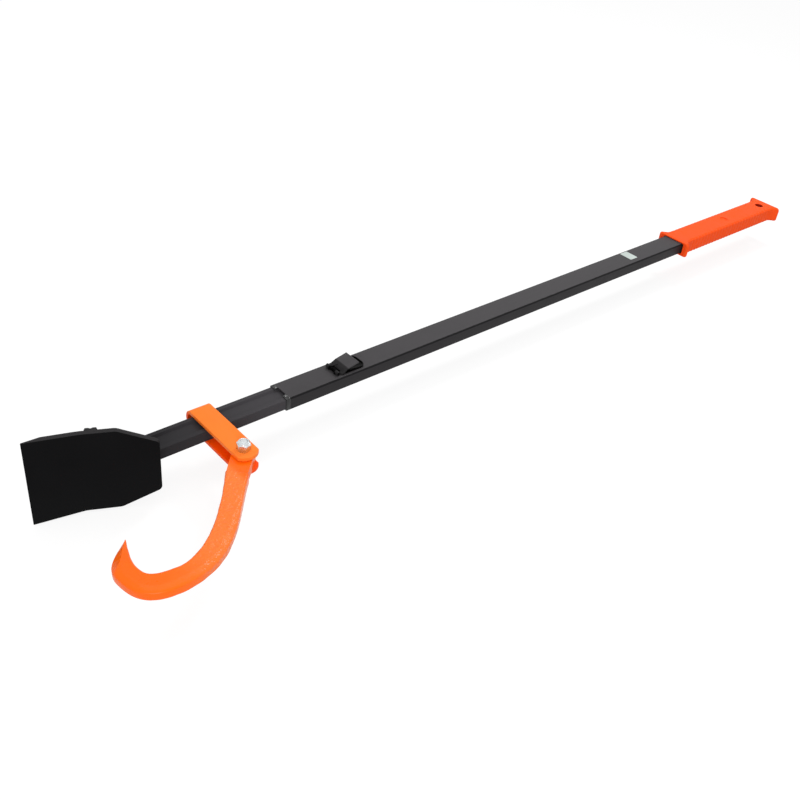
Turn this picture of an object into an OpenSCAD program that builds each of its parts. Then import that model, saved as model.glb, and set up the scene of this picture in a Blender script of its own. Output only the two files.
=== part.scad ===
// Telescopic felling lever with a cant hook, pushed together.
// The origin is the middle of the hang hole. +X runs along the bar to the grip's end, the blade is at -X,
// the hook hangs to the -Y side and +Z is square to the wide faces of the tube.

/* [Handle tube] */
// Width of the tube, across its wide faces
tube_w = 32; // [30:0.5:34]
// Height of the tube
tube_h = 16; // [15.5:0.5:17]
// Outer corner radius of the tube
tube_r = 2; // [1.5:0.25:2.5]
// Wall of the tube
tube_wall = 1.2; // [1:0.1:1.4]
// Length of the tube
tube_len = 930; // [880:5:1000]
// Distance from the hang hole to the near end of the tube
tube_back = 14; // [12:1:18]

/* [Sliding bar] */
// Running gap between the bar and the tube, on each side
slide_gap = 0.3; // [0.2:0.05:0.4]
// Outer corner radius of the bar
bar_r = 1.2; // [1:0.1:2]
// Wall of the rolled bar
bar_wall = 2; // [1.6:0.1:2.2]
// Width of the groove at its mouth
groove_w = 18; // [17:0.5:18]
// Width of the groove's floor
groove_floor = 14; // [13:0.5:15]
// Depth of the groove
groove_d = 2.2; // [2:0.1:2.4]
// Length of bar that stays in the tube when it is pushed in
bar_in = 544; // [500:5:560]
// Length of bar from the tube's mouth to the blade when it is pushed in
bar_out = 181; // [170:1:220]
// Diameter of the lock holes
lock_hole_d = 7; // [6.8:0.1:7.4]
// Distance between two lock holes
lock_pitch = 50; // [40:5:60]
// Number of lock holes
lock_count = 9; // [5:1:9]

/* [Guide and stops] */
// Length of the guide in front of the tube
guide_len = 9; // [7:0.5:12]
// How much the guide's outside tapers to its front, on each face
guide_taper = 0.7; // [0.4:0.1:0.8]
// Radius of the two bosses at the ends of the guide
boss_r = 2.5; // [2:0.25:3]
// Gap in the guide over the groove
guide_gap = 14; // [12:0.5:16]
// Length of the guide's tongue in the lower groove
tongue_len = 44; // [35:1:55]
// Diameter of the nub that snaps into the tube's underside
nub_d = 5; // [4:0.5:6]
// Length of the glide behind the bar
glide_len = 12; // [8:1:16]
// Length of the glide's plug inside the bar
glide_plug = 26; // [22:1:32]
// Diameter of the glide's cross pin
glide_pin_d = 3; // [2.5:0.25:3.25]
// Diameter of the stop rivet's shank
stop_d = 4; // [3.5:0.25:5]

/* [Blade] */
// Thickness of the blade
blade_t = 6; // [5:0.5:8]
// Thickness of the blade at its edge
edge_t = 1.25; // [1:0.25:3]
// Length of the bevel ground on the far face, behind the edge
grind_len = 18; // [10:1:24]
// Angle between the rear part of the blade and the bar
blade_angle = 24.6; // [23:0.2:26]
// Bend between the blade's rear and front parts
blade_bend = 10.4; // [8:0.2:13]
// Inner radius of the bend
bend_r = 40; // [25:1:60]
// Length of the rear part, from its end to the bend
rear_len = 73; // [70:0.5:80]
// Length of the front part, from the bend to the edge
front_len = 50; // [40:1:65]
// Length of the blade behind the bar's near side
blade_behind = 23; // [21:0.5:26]
// Height of the blade at its rear end
rear_h = 58.8; // [50:0.2:64]
// Height of the blade at its shoulders
shoulder_h = 94.5; // [86:0.5:98]
// Height of the blade at its edge
edge_h = 100; // [98:0.5:110]
// Distance from the rear end to the shoulders
shoulder_at = 39; // [34:0.5:44]
// Radius of the blade's rear corners
corner_r = 6; // [3:0.5:8]
// Width of the heel bar
heel_w = 13; // [11:0.5:14]
// Height of the heel bar
heel_h = 4.2; // [3:0.1:5]
// Distance from the heel bar to the bend
heel_to_bend = 5; // [4:0.5:8]
// Leg of the weld between bar and blade
weld_leg = 4; // [3:0.5:4]
// Leg of the fillets in the corner between the bar's near side and the blade
corner_leg = 7; // [5:0.5:8]

/* [Clevis strap and bolt] */
// Width of the strap
strap_w = 24.4; // [22:0.2:28]
// Thickness of the strap
strap_t = 4; // [3:0.5:5]
// Gap between the strap and the bar, above and below
strap_gap = 0.3; // [0.25:0.05:0.5]
// Room between the bar and the start of the strap's bend
strap_room = 2.8; // [1:0.2:4]
// Distance from the tube's mouth to the strap's middle
strap_dist = 90; // [80:1:100]
// Distance from the tube's axis to the pivot bolt
pivot_reach = 62.5; // [58:0.5:68]
// Radius of the strap's ends, about the bolt
strap_end = 15; // [13:0.5:17]
// Diameter of the pivot bolt
bolt_d = 8; // [7:0.5:9]
// Width across the flats of the bolt's head and the nut
hex_af = 13; // [12:0.5:15]
// Height of the bolt's head
head_h = 5.3; // [4.5:0.1:6.5]
// Height of the lock nut
nut_h = 9.5; // [8:0.5:10]

/* [Hook] */
// Gap between the hook's eye and each leg of the strap
eye_gap = 0.3; // [0.2:0.05:0.4]
// Radius of the hook's eye
eye_r = 12; // [11:0.5:13]
// Running clearance between the eye's bore and the bolt
pivot_fit = 0.08; // [0.04:0.01:0.1]
// Distance from the bolt to the farthest part of the hook, along X
hook_reach = 177.5; // [165:0.5:185]
// Thickness of the hook's shank
shank_t = 14.5; // [14:0.5:16]
// Thickness of the hook at its point
point_t = 9; // [7:0.5:11]
// Radius of the forging's inner edges
forge_r = 3; // [2:0.25:4]
// Radius of the forging's outer edges
back_r = 5.5; // [4:0.25:6]

/* [Latch] */
// Distance from the tube's mouth to the latch's hinge
latch_at = 68.5; // [64:0.5:74]
// Radius of the lever's knuckles
knuckle_r = 2.3; // [2.2:0.1:2.6]
// Diameter of the hinge pin
hinge_d = 2.4; // [2:0.1:2.6]
// Width of the lever
lever_w = 25; // [24:0.5:28]
// Thickness of the lever's sheet
lever_t = 1.6; // [1.4:0.1:1.8]
// Slope of the lever's ramp
ramp_angle = 32; // [30:1:34]
// Height of the lever's crease above the hinge
crease_h = 3.4; // [3:0.1:3.8]
// Slope of the lever's rear part
lift_angle = 12; // [8:1:20]
// Distance from the hinge to the crease
crease_at = 12.5; // [12.3:0.1:12.8]
// Distance from the hinge to the lever's raised end
lever_len = 27; // [24:0.5:32]
// Thickness of the bracket's sheet
bracket_t = 1; // [0.8:0.1:1]
// Length of the bracket behind the hinge
bracket_len = 38.5; // [36:0.5:46]
// Height of the rim along the bracket's sides and rear end
rim_h = 1.5; // [0.5:0.1:1.8]
// Diameter of the lock pin
lock_d = 6; // [5:0.25:6.25]
// Diameter of the bracket's rivets
rivet_d = 3.6; // [3:0.2:4]
// Diameter of the spring's wire
wire_d = 0.7; // [0.5:0.05:0.75]
// Turns of the spring, with a half turn more
spring_turns = 4; // [3:1:4]

/* [Grip] */
// Length of the grip
grip_len = 255; // [220:0.5:300]
// Distance from the hang hole to the grip's end
grip_end = 22; // [20:0.5:28]
// Width of the grip
grip_w = 37; // [36:0.2:40]
// Height of the grip
grip_h = 22.4; // [21:0.2:25]
// Corner radius of the grip
grip_r = 3.5; // [3:0.5:5]
// Width of the grip's flared ends
flange_w = 54; // [48:0.5:60]
// Length of each flare
flare_len = 14; // [10:0.5:15]
// Width of the hollow in the grip's mouth
mouth_w = 36; // [34:0.5:44]
// Depth of the hollow in the grip's mouth
mouth_depth = 9; // [6:0.5:16]
// Diameter of the hang hole
hang_d = 12; // [8:0.5:14]
// Distance from the hang hole to the thumb recess
recess_dist = 102; // [80:1:130]
// Diameter of the thumb recess at the surface
recess_d = 12; // [8:0.5:16]
// Depth of the thumb recess
recess_deep = 1; // [0.6:0.1:1.4]

/* [Hidden] */
$fn = 64;

fit = 0.05;
hex_turn = 15;
bar_w = tube_w - 2 * (tube_wall + slide_gap);
bar_h = tube_h - 2 * (tube_wall + slide_gap);
mouth_x = -tube_back - tube_len;
bar_end_x = mouth_x + bar_in;
root_x = mouth_x - bar_out;
floor_z = bar_h / 2 - groove_d;
top_z = tube_h / 2;

// Blade: the far corner of its rear end, and places along it
blade_x = root_x + blade_behind * cos(blade_angle);
blade_y = -bar_w / 2 - blade_behind * sin(blade_angle);
heel_s = rear_len - heel_to_bend - heel_w;
bar_s = heel_s - weld_leg - 0.5;

strap_x = mouth_x - strap_dist;
leg_in = bar_h / 2 + strap_gap;
leg_out = leg_in + strap_t;
eye_t = 2 * (leg_in - eye_gap);

hinge_x = mouth_x + latch_at;
hinge_z = top_z + slide_gap + knuckle_r;
pin_at = crease_at + 1;
base_z = bracket_t - slide_gap - knuckle_r;
knuckle_in = 6.2;
knuckle_out = 10.6;
ear_out = knuckle_in - 0.3;
ear_in = ear_out - 1.3;
rivet_front = 24.8;
rivet_rear = 33;
coil_r = hinge_d / 2 + 0.2 + wire_d / 2;

// A point on a cubic curve with the control points p
function curve(p, t) =
    let (u = 1 - t)
    u * u * u * p[0] + 3 * u * u * t * p[1] + 3 * u * t * t * p[2] + t * t * t * p[3];

// A ring of points in the upright plane through c that holds the direction d: a rectangle of half width w and half
// height h, with corners in k steps of radius r, or of radius s on the side that d points to
function ring(c, d, w, h, r, s, k = 4) = [
    for (q = [0:3], i = [0:k])
        let (
            a = 90 * (q + i / k),
            sx = (q == 0 || q == 3) ? 1 : -1,
            sz = (q < 2) ? 1 : -1,
            e = sx > 0 ? s : r,
            p = sx * (w - e) + e * cos(a),
            z = sz * (h - e) + e * sin(a)
        )
        [c[0] + d[0] * p, c[1] + d[1] * p, z]
];

// The corner at b between a and c, rounded with radius r in k steps
function rounded(a, b, c, r, k = 6) =
    let (
        u = (a - b) / norm(a - b),
        v = (c - b) / norm(c - b),
        half = acos(u * v) / 2,
        m = b + (u + v) / norm(u + v) * r / sin(half),
        s = b + u * r / tan(half) - m,
        turn = (u[0] * v[1] - u[1] * v[0] > 0 ? -1 : 1) * (180 - 2 * half)
    )
    [for (i = [0:k]) let (g = turn * i / k) m + [s[0] * cos(g) - s[1] * sin(g), s[0] * sin(g) + s[1] * cos(g)]];

// A closed solid through rings that all have as many points
module loft(rings) {
    m = len(rings[0]);
    n = len(rings);
    polyhedron(
        points = [for (g = rings, p = g) p],
        faces = concat(
            [[for (j = [0:m - 1]) j]],
            [for (i = [0:n - 2], j = [0:m - 1]) let (k = (j + 1) % m) [i * m + j, (i + 1) * m + k, i * m + k]],
            [for (i = [0:n - 2], j = [0:m - 1]) let (k = (j + 1) % m) [i * m + j, (i + 1) * m + j, (i + 1) * m + k]],
            [[for (j = [m - 1:-1:0]) (n - 1) * m + j]]
        )
    );
}

// A rectangle with true round corners
module round_rect(w, h, r) {
    square([w - 2 * r, h], center = true);
    square([w, h - 2 * r], center = true);
    for (x = [-1, 1], y = [-1, 1])
        translate([x * (w / 2 - r), y * (h / 2 - r)])
            circle(r);
}

// Extrudes a section drawn in Y and Z along X
module along_x(x, length) {
    translate([x, 0, 0])
        rotate([90, 0, 90])
            linear_extrude(length)
                children();
}

// The blade's own frame: X runs up the far face from the rear end, +Y is the side of the near face
module on_blade() {
    translate([blade_x, blade_y, 0])
        rotate([0, 0, 180 - blade_angle])
            children();
}

// The latch's frame: its hinge line is Y, and X runs back over the tube
module on_latch() {
    translate([hinge_x, 0, hinge_z])
        children();
}

// Extrudes a section drawn in X and Z across Y, from y to y + width
module across(y, width) {
    translate([0, y + width, 0])
        rotate([90, 0, 0])
            linear_extrude(width)
                children();
}

// The slot for the swinging lock pin, in plan
module pin_slot() {
    front = pin_at - lock_d / 2 - 0.5;
    back = pin_at + lock_d / 2 + 1.7;
    w = lock_d + 0.8;
    translate([front + w / 2, -w / 2])
        square([back - front - w, w]);
    for (x = [front + w / 2, back - w / 2])
        translate([x, 0])
            circle(d = w);
}

module outer_tube() {
    color([0.27, 0.27, 0.29])
        difference() {
            along_x(mouth_x, tube_len)
                difference() {
                    round_rect(tube_w, tube_h, tube_r);
                    round_rect(tube_w - 2 * tube_wall, tube_h - 2 * tube_wall, tube_r - tube_wall);
                }
            on_latch()
                translate([0, 0, -hinge_z])
                    linear_extrude(top_z + 1)
                        pin_slot();
            for (x = [rivet_front, rivet_rear])
                on_latch()
                    translate([x, 0, -hinge_z])
                        cylinder(h = top_z + 1, d = rivet_d + 2 * fit);
            translate([mouth_x + tongue_len / 2, 0, -top_z - 1])
                cylinder(h = top_z, d = nub_d + 2 * fit);
            translate([bar_end_x + glide_len + stop_d / 2 + slide_gap, 0, -top_z - 1])
                cylinder(h = top_z, d = stop_d + 2 * fit);
        }
}

// The guide's outline of half width w, tapered to its front end
module taper(w) {
    front = mouth_x - guide_len;
    polygon([
        [front, guide_taper - w],
        [mouth_x - 1.5, -w],
        [mouth_x, -w],
        [mouth_x, w],
        [mouth_x - 1.5, w],
        [front, w - guide_taper]
    ]);
}

// Plastic guide: a tapered ring that is open over the upper groove between two bosses, and a tongue in the lower one
module guide_collar() {
    tongue_w = groove_floor - 1;
    boss_y = guide_gap / 2 + boss_r;
    boss_z = top_z + 0.3 - boss_r;
    color([0.13, 0.13, 0.14])
        union() {
            difference() {
                union() {
                    intersection() {
                        along_x(mouth_x - guide_len, guide_len)
                            round_rect(tube_w, tube_h, tube_r);
                        translate([0, 0, -tube_h])
                            linear_extrude(2 * tube_h)
                                taper(tube_w / 2);
                        across(-tube_w, 2 * tube_w)
                            taper(top_z);
                    }
                    for (y = [-boss_y, boss_y])
                        translate([mouth_x - guide_len + boss_r - 0.5, y, boss_z]) {
                            sphere(r = boss_r);
                            rotate([0, 90, 0])
                                cylinder(h = guide_len - boss_r + 0.5, r = boss_r);
                        }
                }
                along_x(mouth_x - guide_len - 1, guide_len + 2)
                    round_rect(bar_w + 2 * slide_gap, bar_h + 2 * slide_gap, bar_r + slide_gap);
                translate([mouth_x - guide_len - 1, -guide_gap / 2, 0])
                    cube([guide_len + 2, guide_gap, tube_h]);
            }
            translate([mouth_x - guide_len, -tongue_w / 2, guide_taper - top_z])
                cube([guide_len, tongue_w, top_z - guide_taper - floor_z - slide_gap]);
            translate([mouth_x - 1, -tongue_w / 2, -bar_h / 2])
                cube([tongue_len + 1, tongue_w, groove_d - slide_gap]);
            translate([mouth_x + tongue_len / 2, 0, -top_z])
                cylinder(h = top_z - floor_z - slide_gap, d = nub_d);
        }
}

// A blind rivet under the tube that the glide comes up against
module stop_rivet() {
    color([0.2, 0.2, 0.21])
        translate([bar_end_x + glide_len + stop_d / 2 + slide_gap, 0, 0])
            union() {
                translate([0, 0, -top_z])
                    cylinder(h = tube_wall + 3, d = stop_d);
                translate([0, 0, -top_z])
                    intersection() {
                        translate([0, 0, stop_d - 1.4])
                            sphere(r = stop_d);
                        translate([0, 0, -1.4])
                            cylinder(h = 1.4, d = 2 * stop_d);
                    }
            }
}

function flare(x, from, to) = pow(max(0, min(1, (x - from) / (to - from))), 2);

// Soft grip: a loft whose sides sweep out at both ends, with a hollow mouth, the hang hole and a thumb recess
module grip() {
    x0 = grip_end - grip_len;
    xa = x0 + flare_len;
    xb = grip_end - flare_len;
    edge = 2;
    steps = 7;
    xs = concat(
        [x0],
        [for (i = [0:steps]) x0 + edge + (flare_len - edge) * i / steps],
        [for (i = [0:steps]) xb + (flare_len - edge) * i / steps],
        [grip_end]
    );
    last = len(xs) - 1;
    color([0.95, 0.34, 0.16])
        difference() {
            loft([
                for (i = [0:last])
                    let (
                        x = xs[i],
                        f = max(flare(x, xa, x0 + edge), flare(x, xb, grip_end - edge)),
                        cut = (i == 0 || i == last) ? edge : 0
                    )
                    ring([x, 0], [0, 1], grip_w / 2 + (flange_w - grip_w) / 2 * f - cut, grip_h / 2 - cut / 2, grip_r,
                        grip_r)
            ]);
            loft([
                for (i = [-1:steps])
                    let (x = x0 + mouth_depth * i / steps, f = flare(x, x0 + mouth_depth, x0))
                    ring([x, 0], [0, 1], tube_w / 2 + fit + (mouth_w - tube_w) / 2 * f, top_z + fit + 0.8 * f,
                        tube_r + fit, tube_r + fit)
            ]);
            along_x(x0 - 1, grip_len - grip_end - tube_back + 1)
                round_rect(tube_w + 2 * fit, tube_h + 2 * fit, tube_r + fit);
            translate([0, 0, -grip_h])
                cylinder(h = 2 * grip_h, d = hang_d);
            translate([-recess_dist, 0, grip_h / 2 - recess_deep])
                cylinder(h = 2 * recess_deep, d1 = recess_d - 3, d2 = recess_d + 3);
        }
}

// The bracket's wide rear part in plan, drawn in by inset
module bracket_plan(inset = 0) {
    w = 19 - 2 * inset;
    r = 6 - inset;
    front = crease_at - 2.3;
    back = bracket_len - inset;
    translate([front, -w / 2])
        square([back - r - front, w]);
    for (y = [-1, 1])
        translate([back - r, y * (w / 2 - r)])
            circle(r);
    translate([back - r, r - w / 2])
        square([r, w - 2 * r]);
}

// Sheet bracket with a low rim, and two ears that carry the hinge pin between the lever's knuckles
module latch_bracket() {
    low = top_z - hinge_z;
    color([0.16, 0.16, 0.17])
        on_latch()
            difference() {
                union() {
                    translate([0, 0, low])
                        linear_extrude(bracket_t)
                            difference() {
                                union() {
                                    translate([-knuckle_r, -ear_out])
                                        square([bracket_len - knuckle_r, 2 * ear_out]);
                                    bracket_plan();
                                }
                                translate([-knuckle_r - 1, -ear_in])
                                    square([knuckle_r + 5, 2 * ear_in]);
                                pin_slot();
                                for (x = [rivet_front, rivet_rear])
                                    translate([x, 0])
                                        circle(d = rivet_d + 2 * fit);
                            }
                    translate([0, 0, low])
                        linear_extrude(bracket_t + rim_h)
                            difference() {
                                bracket_plan();
                                bracket_plan(1);
                                translate([0, -20])
                                    square([crease_at + 6, 40]);
                            }
                    for (y = [-ear_out, ear_in])
                        across(y, ear_out - ear_in) {
                            circle(knuckle_r);
                            translate([-knuckle_r, low])
                                square([2 * knuckle_r, -low]);
                        }
                }
                across(-ear_out - 1, 2 * ear_out + 2)
                    circle(d = hinge_d + fit);
            }
}

// A rivet through the bracket and the tube, with its closed end in the bar's groove
module bracket_rivet(x) {
    color([0.2, 0.2, 0.21])
        on_latch()
            translate([x, 0, base_z])
                rotate_extrude()
                    polygon([
                        [0, -bracket_t - tube_wall - 1.2],
                        [rivet_d * 0.6, -bracket_t - tube_wall - 1.2],
                        [rivet_d * 0.8, -bracket_t - tube_wall - 0.6],
                        [rivet_d * 0.8, -bracket_t - tube_wall],
                        [rivet_d / 2, -bracket_t - tube_wall],
                        [rivet_d / 2, 0],
                        [rivet_d * 0.9, 0],
                        [rivet_d * 0.8, 0.6],
                        [rivet_d * 0.5, 1],
                        [0, 1]
                    ]);
}

module bracket_rivet_front() {
    bracket_rivet(rivet_front);
}

module bracket_rivet_rear() {
    bracket_rivet(rivet_rear);
}

module latch_hinge_pin() {
    color([0.55, 0.55, 0.56])
        on_latch()
            across(-knuckle_out - 0.4, 2 * knuckle_out + 0.8)
                circle(d = hinge_d);
}

// The lever's plate in X and Z: ramp, crease and raised end
module lever_section() {
    ramp = [cos(ramp_angle), sin(ramp_angle)];
    lift = [cos(lift_angle), sin(lift_angle)];
    crease = [crease_at, crease_h];
    foot = [crease_at - (crease_h + knuckle_r) / tan(ramp_angle), -knuckle_r];
    back = crease + lift * (lever_len - crease_at) / lift[0];
    mid = (ramp_angle + lift_angle) / 2;
    under = lever_t / cos((ramp_angle - lift_angle) / 2);
    polygon([
        foot,
        crease,
        back,
        back + lever_t * [lift[1], -lift[0]],
        crease + under * [sin(mid), -cos(mid)],
        foot + [lever_t / ramp[1], 0]
    ]);
    translate(back + lever_t / 2 * [lift[1], -lift[0]])
        circle(lever_t * 0.7);
}

// Pressed lever: a creased plate on two knuckles, with a notch that clears the bracket and the spring
module latch_lever() {
    notch = 6.2;
    color([0.2, 0.2, 0.21])
        on_latch()
            difference() {
                union() {
                    across(-lever_w / 2, lever_w)
                        lever_section();
                    for (y = [-knuckle_out, knuckle_in])
                        across(y, knuckle_out - knuckle_in) {
                            circle(knuckle_r);
                            polygon([[0, -knuckle_r], [6, -knuckle_r], [5.2, -1.2], [0, 1.2]]);
                        }
                }
                translate([0, -knuckle_in, -knuckle_r - 1])
                    cube([notch, 2 * knuckle_in, 2 * knuckle_r + 2]);
                translate([0, -knuckle_in, -knuckle_r - 1])
                    cube([crease_at, 2 * knuckle_in, 1 + slide_gap + bracket_t]);
                across(-lever_w, 2 * lever_w)
                    circle(d = hinge_d + 2 * pivot_fit);
            }
}

// The pin rides just above the floor of the bar's groove
module lock_pin() {
    low = floor_z + slide_gap - hinge_z;
    color([0.55, 0.55, 0.56])
        on_latch()
            difference() {
                translate([pin_at, 0, low])
                    rotate_extrude()
                        polygon([[0, 0], [lock_d / 2 - 0.6, 0], [lock_d / 2, 0.6], [lock_d / 2, 12], [0, 12]]);
                across(-lock_d, 2 * lock_d)
                    union() {
                        lever_section();
                        translate([crease_at, crease_h - 1.5])
                            mirror([1, 0])
                                square([lock_d, 20]);
                        polygon([
                            [crease_at, crease_h],
                            [crease_at, 40],
                            [lever_len, 40],
                            [lever_len, crease_h + (lever_len - crease_at) * tan(lift_angle)]
                        ]);
                    }
            }
}

// The spring's centre line, from the leg on the bracket round the pin to the leg on the lever
spring_w = 2 * ear_in - 2;
spring_path = concat(
    [[5.4, -spring_w / 2, -1.2], [4.4, -spring_w / 2, -1.2]],
    [
        for (i = [0:8 * spring_turns + 4])
            let (a = -90 - 45 * i, y = -spring_w / 2 + spring_w * i / (8 * spring_turns + 4))
            [coil_r * cos(a), y, coil_r * sin(a)]
    ],
    [[4, spring_w / 2, coil_r], [crease_at - 3.3, spring_w / 2, coil_r]]
);

function spring_ring(i) =
    let (
        n = len(spring_path),
        v = spring_path[min(n - 1, i + 1)] - spring_path[max(0, i - 1)],
        t = v / norm(v),
        c = cross(t, [0, 1, 0]),
        a = c / norm(c),
        b = cross(t, a)
    )
    [for (j = [0:5]) spring_path[i] + wire_d / 2 * (cos(60 * j) * a + sin(60 * j) * b)];

// Least gap between points of the wire that are a turn or more apart
spring_gap = min([
    for (i = [2:len(spring_path) - 9], j = [i + 6:len(spring_path) - 3])
        norm(spring_path[i] - spring_path[j])
]) - wire_d;
echo(spring_gap = spring_gap);

module latch_spring() {
    color([0.5, 0.5, 0.52])
        on_latch()
            loft([for (i = [0:len(spring_path) - 1]) spring_ring(i)]);
}

// The bar's outside without its grooves, cut where it meets the blade
module bar_outside(grow = 0) {
    difference() {
        along_x(root_x - 60, bar_end_x - root_x + 60)
            round_rect(bar_w + 2 * grow, bar_h + 2 * grow, bar_r + grow);
        bar_cuts();
    }
}

module bar_cuts() {
    on_blade()
        translate([-40, 0, -bar_h])
            cube([200, 80, 2 * bar_h]);
    on_blade()
        translate([bar_s, -80, -bar_h])
            cube([200, 90, 2 * bar_h]);
}

// Rolled bar with a groove in each wide face, a hollow inside and lock holes in the upper groove
module inner_bar() {
    side = groove_w / 2 + bar_wall;
    color([0.24, 0.24, 0.25])
        difference() {
            along_x(root_x - 60, bar_end_x - root_x + 60)
                difference() {
                    round_rect(bar_w, bar_h, bar_r);
                    for (z = [0, 1])
                        mirror([0, z])
                            polygon([
                                [-groove_w / 2, bar_h],
                                [-groove_w / 2, bar_h / 2],
                                [-groove_floor / 2, floor_z],
                                [groove_floor / 2, floor_z],
                                [groove_w / 2, bar_h / 2],
                                [groove_w / 2, bar_h]
                            ]);
                    square([bar_w - 2 * bar_wall, 2 * (floor_z - bar_wall)], center = true);
                    for (y = [0, 1])
                        mirror([y, 0])
                            polygon([
                                [side - 2, 0],
                                [side - 1.5, floor_z - bar_wall],
                                [side, bar_h / 2 - bar_wall],
                                [bar_w / 2 - bar_wall, bar_h / 2 - bar_wall],
                                [bar_w / 2 - bar_wall, bar_wall - bar_h / 2],
                                [side, bar_wall - bar_h / 2],
                                [side - 1.5, bar_wall - floor_z]
                            ]);
                }
            bar_cuts();
            for (i = [0:lock_count - 1])
                translate([hinge_x + pin_at + lock_pitch * (i + 0.5), 0, 0])
                    cylinder(h = bar_h, d = lock_hole_d);
            translate([bar_end_x - glide_plug / 2, bar_w, 0])
                rotate([90, 0, 0])
                    cylinder(h = 2 * bar_w, d = glide_pin_d + 2 * fit);
        }
}

// Plastic glide: a block that fills the tube behind the bar, with a plug inside it
module bar_glide() {
    plug_h = 2 * (floor_z - bar_wall) - 4 * fit;
    color([0.13, 0.13, 0.14])
        difference() {
            union() {
                along_x(bar_end_x, glide_len)
                    round_rect(bar_w + slide_gap, bar_h + slide_gap, bar_r);
                translate([bar_end_x - glide_plug, fit + bar_wall - bar_w / 2, -plug_h / 2])
                    cube([glide_plug + 1, bar_w - 2 * bar_wall - 2 * fit, plug_h]);
            }
            translate([bar_end_x - glide_plug / 2, bar_w, 0])
                rotate([90, 0, 0])
                    cylinder(h = 2 * bar_w, d = glide_pin_d + 2 * fit);
        }
}

module glide_pin() {
    color([0.6, 0.6, 0.61])
        translate([bar_end_x - glide_plug / 2, bar_w / 2 - 0.2, 0])
            rotate([90, 0, 0])
                cylinder(h = bar_w - 0.4, d = glide_pin_d);
}

// The blade's section: a plate that bends toward its near face and is ground to the edge on its far face
module blade_section() {
    c = [rear_len - bend_r * tan(blade_bend / 2), blade_t + bend_r];
    way = [cos(blade_bend), sin(blade_bend)];
    side = [way[1], -way[0]];
    tip = [rear_len, blade_t] + front_len * way;
    ground = [rear_len, blade_t] + (front_len - grind_len) * way;
    steps = 10;
    polygon(concat(
        [[0, 0]],
        [for (i = [0:steps]) let (a = blade_bend * i / steps) c + (bend_r + blade_t) * [sin(a), -cos(a)]],
        [ground + blade_t * side, tip + edge_t * side, tip],
        [for (i = [steps:-1:0]) let (a = blade_bend * i / steps) c + bend_r * [sin(a), -cos(a)]],
        [[0, blade_t]]
    ));
}

// The blade's outline, seen square to its rear part: tapered behind, widening a little to the edge
module blade_outline() {
    end = rear_len + front_len;
    a = [0, rear_h / 2];
    b = [shoulder_at, shoulder_h / 2];
    c = [end * 0.6, shoulder_h / 2];
    d = [end, edge_h / 2];
    upper = concat(
        rounded([0, 0], a, b, corner_r),
        rounded(a, b, c, 12),
        [c, d]
    );
    polygon(concat(upper, [for (i = [len(upper) - 1:-1:0]) [upper[i][0], -upper[i][1]]]));
}

module blade() {
    color([0.1, 0.1, 0.11])
        on_blade()
            intersection() {
                translate([0, 0, -edge_h])
                    linear_extrude(2 * edge_h)
                        blade_section();
                translate([0, 40, 0])
                    rotate([90, 0, 0])
                        linear_extrude(80)
                            blade_outline();
            }
}

// Ribbed heel on the blade's far face, which bears on the stump
module heel_bar() {
    h = shoulder_h - 1;
    color([0.1, 0.1, 0.11])
        on_blade()
            translate([heel_s, 0, -h / 2])
                linear_extrude(h)
                    polygon([
                        [0, 0],
                        [1.2, -heel_h],
                        [heel_w * 0.34, -heel_h],
                        [heel_w / 2, -heel_h * 0.7],
                        [heel_w * 0.66, -heel_h],
                        [heel_w - 1.2, -heel_h],
                        [heel_w, 0]
                    ]);
}

// Welds: above and below the bar, across its end, and in the narrow corner on its near side
module blade_weld() {
    top = bar_h / 2;
    near = blade_behind;
    color([0.12, 0.12, 0.13])
        difference() {
            on_blade() {
                for (z = [0, 1])
                    mirror([0, 0, z])
                        translate([near - 4, 0, 0])
                            rotate([90, 0, 90])
                                linear_extrude(bar_s - near + 4 + weld_leg)
                                    polygon([[0, top - 1], [0, top + weld_leg], [-weld_leg, top - 1]]);
                translate([0, 0, -top])
                    linear_extrude(2 * top)
                        polygon([[bar_s - 1, 0], [bar_s + weld_leg, 0], [bar_s, -weld_leg], [bar_s - 1, -weld_leg]]);
                translate([0, 0, -top])
                    linear_extrude(2 * top)
                        polygon([[near, 0], [3, 0], [3, -1 - (near - 3) * tan(blade_angle)], [near, -2]]);
                for (z = [0, 1])
                    mirror([0, 0, z])
                        translate([1.5, 0, 0])
                            rotate([90, 0, 90])
                                linear_extrude(near)
                                    polygon([
                                        [0, top - 0.5],
                                        [0, top + corner_leg],
                                        [-corner_leg, top + 0.5],
                                        [-corner_leg - 3, top - 0.5]
                                    ]);
            }
            bar_outside();
        }
}

// Flat bar bent round the sliding bar, with wide round ends about the bolt
module clevis_strap() {
    bend_y = bar_w / 2 + strap_room;
    color([1.0, 0.42, 0.12])
        translate([strap_x, 0, 0])
            difference() {
                intersection() {
                    along_x(-strap_w / 2, strap_w)
                        difference() {
                            union() {
                                translate([bend_y, 0])
                                    circle(leg_out);
                                translate([-pivot_reach - strap_end, -leg_out])
                                    square([bend_y + pivot_reach + strap_end, 2 * leg_out]);
                            }
                            translate([bend_y, 0])
                                circle(leg_in);
                            translate([-pivot_reach - strap_end - 1, -leg_in])
                                square([bend_y + pivot_reach + strap_end + 1, 2 * leg_in]);
                        }
                    translate([0, 0, -2 * leg_out])
                        linear_extrude(4 * leg_out)
                            union() {
                                intersection() {
                                    translate([0, -pivot_reach])
                                        circle(strap_end);
                                    translate([-strap_w / 2, -pivot_reach - strap_end])
                                        square([strap_w, 2 * strap_end]);
                                }
                                translate([-strap_w / 2, -pivot_reach])
                                    square([strap_w, pivot_reach + bar_w + leg_out]);
                            }
                }
                translate([0, -pivot_reach, -2 * leg_out])
                    cylinder(h = 4 * leg_out, d = bolt_d + 2 * fit);
            }
}

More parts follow.
